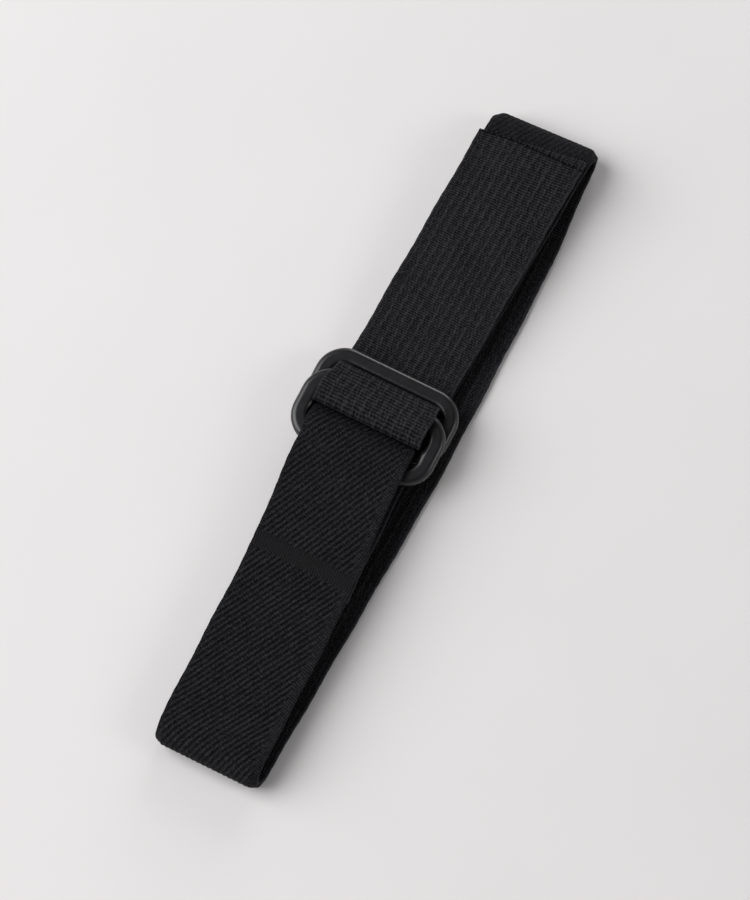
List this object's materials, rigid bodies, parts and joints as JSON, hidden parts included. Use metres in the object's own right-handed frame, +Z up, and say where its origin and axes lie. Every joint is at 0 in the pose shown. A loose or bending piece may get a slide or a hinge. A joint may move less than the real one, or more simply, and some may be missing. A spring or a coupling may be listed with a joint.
{
  "type": "tourniquet",
  "caption": "Flat elastic cinch tourniquet belt with a sewn double ring, lying as a flattened loop with its free tail laid back along it.",
  "frame": {"origin": "on the supporting surface, under the middle of the flattened belt", "axes": "+X along the band towards the free tail, +Y across it, +Z up"},
  "size_m": [0.1666, 0.036, 0.0119],
  "materials": {
    "band_outer": "black elastic webbing, twill face",
    "band_inner": "black elastic webbing, ribbed inner face",
    "thread": "black polyester sewing thread",
    "ring_plastic": "black moulded plastic, satin"
  },
  "bodies": {
    "belt": {"bottom_fold": "band_outer", "floor_panel": "band_outer", "floor_run": "band_outer", "load_run": "band_outer", "anchor_panel": "band_outer", "anchor_fold": "band_outer", "anchor_return": "band_outer", "bar_tack": "thread"},
    "upper_ring": {"upper_ring": "ring_plastic"},
    "lower_ring": {"lower_ring": "ring_plastic", "cinch_turn": "band_inner"},
    "tail_crease": {"tail_crease": "band_inner"},
    "tail": {"tail_panel": "band_inner", "tail_end_stitch": "thread"},
    "top_fold": {"top_fold": "band_outer"}
  },
  "joints": [
    {"name": "ring_lift", "type": "hinge", "parent": "belt", "child": "lower_ring", "pos_m": [-0.00444, 0.0006, 0.00691], "axis": [0, -1, 0], "range_deg": [0, 35], "deforming": ["anchor_fold", "load_run"]},
    {"name": "upper_ring_lift", "type": "hinge", "parent": "belt", "child": "upper_ring", "pos_m": [-0.00444, 0.0006, 0.00691], "axis": [0, -1, 0], "range_deg": [0, 35]},
    {"name": "tail_peel", "type": "hinge", "parent": "lower_ring", "child": "tail_crease", "pos_m": [0.01882, 0.0003, 0.00445], "axis": [0, -1, 0], "range_deg": [0, 100]},
    {"name": "cinch", "type": "slide", "parent": "belt", "child": "top_fold", "axis": [-1, 0, 0], "range_m": [0, 0.012], "deforming": ["floor_run", "load_run"]},
    {"name": "tail_pull", "type": "slide", "parent": "tail_crease", "child": "tail", "axis": [0.9957, 0, 0.093], "range_m": [0, 0.024]}
  ],
  "couplings": [
    {"joint": "upper_ring_lift", "follows": "ring_lift", "ratio": 1},
    {"joint": "tail_pull", "follows": "cinch", "ratio": 2}
  ]
}
